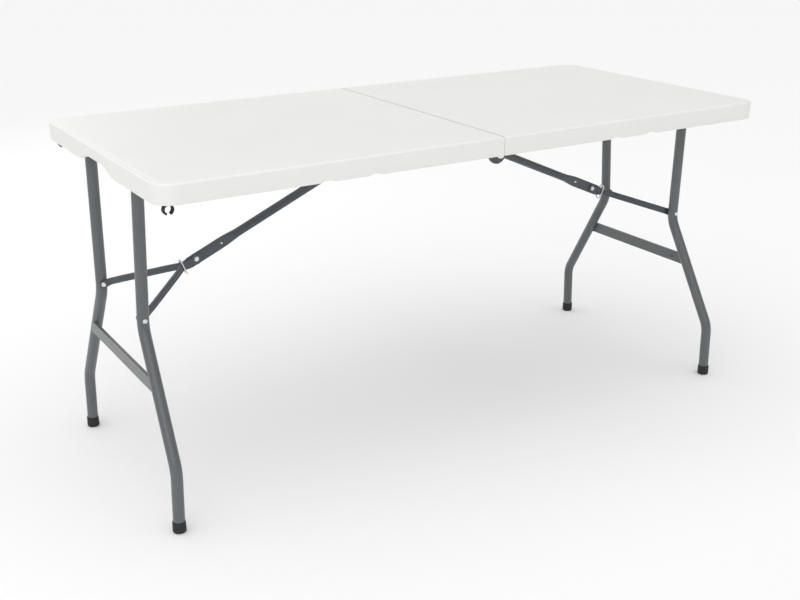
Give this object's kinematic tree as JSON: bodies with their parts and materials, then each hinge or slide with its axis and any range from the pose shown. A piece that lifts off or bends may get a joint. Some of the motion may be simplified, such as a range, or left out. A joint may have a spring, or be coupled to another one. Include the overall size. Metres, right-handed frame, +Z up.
{
  "type": "folding picnic table",
  "caption": "Fold-in-half picnic table with a rounded white moulded top and dark tubular wishbone legs held by braces with sliding lock rings.",
  "frame": {"origin": "on the floor under the middle of the opened top", "axes": "+X along the length, +Y towards the back edge, +Z up"},
  "size_m": [1.5258, 0.7, 0.74],
  "materials": {
    "hdpe_top": "fine pebble grain",
    "frame_steel": "satin powder coat",
    "brace_steel": "satin powder coat",
    "zinc": "bright zinc",
    "black_plastic": "matte"
  },
  "bodies": {
    "left_top": {"left_tabletop": "hdpe_top", "left_front_rail": "frame_steel", "left_back_rail": "frame_steel", "left_rail_screws": "zinc", "left_hinge_plates": "brace_steel", "centre_hinge_pins": "zinc", "left_hinge_rivets": "zinc", "left_brace_bracket": "brace_steel", "left_bracket_screws": "zinc", "left_latch_clips": "black_plastic", "left_brace_pin": "zinc"},
    "right_top": {"right_tabletop": "hdpe_top", "right_front_rail": "frame_steel", "right_back_rail": "frame_steel", "right_rail_screws": "zinc", "right_hinge_plates": "brace_steel", "right_hinge_rivets": "zinc", "right_brace_bracket": "brace_steel", "right_bracket_screws": "zinc", "right_latch_catches": "black_plastic", "right_brace_pin": "zinc"},
    "left_leg_frame": {"left_axle_tube": "frame_steel", "left_front_leg_tube": "frame_steel", "left_back_leg_tube": "frame_steel", "left_front_foot_cap": "black_plastic", "left_back_foot_cap": "black_plastic", "left_lower_crossbar": "frame_steel", "left_arm_bolts": "zinc"},
    "left_brace": {"left_main_brace": "brace_steel", "left_knee_rivet": "zinc", "left_stop_rivet": "zinc"},
    "left_arms": {"left_front_arm": "brace_steel", "left_back_arm": "brace_steel", "left_arm_end_rivets": "zinc"},
    "left_ring": {"left_lock_ring": "zinc"},
    "right_leg_frame": {"right_axle_tube": "frame_steel", "right_front_leg_tube": "frame_steel", "right_back_leg_tube": "frame_steel", "right_front_foot_cap": "black_plastic", "right_back_foot_cap": "black_plastic", "right_lower_crossbar": "frame_steel", "right_arm_bolts": "zinc"},
    "right_brace": {"right_main_brace": "brace_steel", "right_knee_rivet": "zinc", "right_stop_rivet": "zinc"},
    "right_arms": {"right_front_arm": "brace_steel", "right_back_arm": "brace_steel", "right_arm_end_rivets": "zinc"},
    "right_ring": {"right_lock_ring": "zinc"}
  },
  "joints": [
    {"name": "half_fold", "type": "hinge", "parent": "left_top", "child": "right_top", "pos_m": [0, 0, 0.6995], "axis": [0, 1, 0], "range_deg": [0, 90]},
    {"name": "left_leg_fold", "type": "hinge", "parent": "left_top", "child": "left_leg_frame", "pos_m": [-0.72395, 0, 0.711], "axis": [0, -1, 0], "range_deg": [0, 91.42]},
    {"name": "left_brace_swing", "type": "hinge", "parent": "left_top", "child": "left_brace", "pos_m": [-0.02, 0, 0.7095], "axis": [0, -1, 0], "range_deg": [-24.5, 0.5]},
    {"name": "left_knee_turn", "type": "hinge", "parent": "left_brace", "child": "left_arms", "pos_m": [-0.561, 0, 0.475], "axis": [0, -1, 0], "range_deg": [-0.5, 183]},
    {"name": "left_ring_slide", "type": "slide", "parent": "left_brace", "child": "left_ring", "axis": [0.9175, 0, 0.3977], "range_m": [-0.0005, 0.0945]},
    {"name": "right_leg_fold", "type": "hinge", "parent": "right_top", "child": "right_leg_frame", "pos_m": [0.72395, 0, 0.711], "axis": [0, 1, 0], "range_deg": [0, 91.42]},
    {"name": "right_brace_swing", "type": "hinge", "parent": "right_top", "child": "right_brace", "pos_m": [0.02, 0, 0.7095], "axis": [0, 1, 0], "range_deg": [-24.5, 0.5]},
    {"name": "right_knee_turn", "type": "hinge", "parent": "right_brace", "child": "right_arms", "pos_m": [0.561, 0, 0.475], "axis": [0, 1, 0], "range_deg": [-0.5, 183]},
    {"name": "right_ring_slide", "type": "slide", "parent": "right_brace", "child": "right_ring", "axis": [-0.9175, 0, 0.3977], "range_m": [-0.0005, 0.0945]}
  ],
  "couplings": [
    {"joint": "left_brace_swing", "follows": "left_leg_fold", "ratio": -0.2613},
    {"joint": "left_knee_turn", "follows": "left_leg_fold", "ratio": 1.9924},
    {"joint": "left_ring_slide", "follows": "left_leg_fold", "m_per_rad": 0.0586},
    {"joint": "right_brace_swing", "follows": "right_leg_fold", "ratio": -0.2613},
    {"joint": "right_knee_turn", "follows": "right_leg_fold", "ratio": 1.9924},
    {"joint": "right_ring_slide", "follows": "right_leg_fold", "m_per_rad": 0.0586}
  ]
}
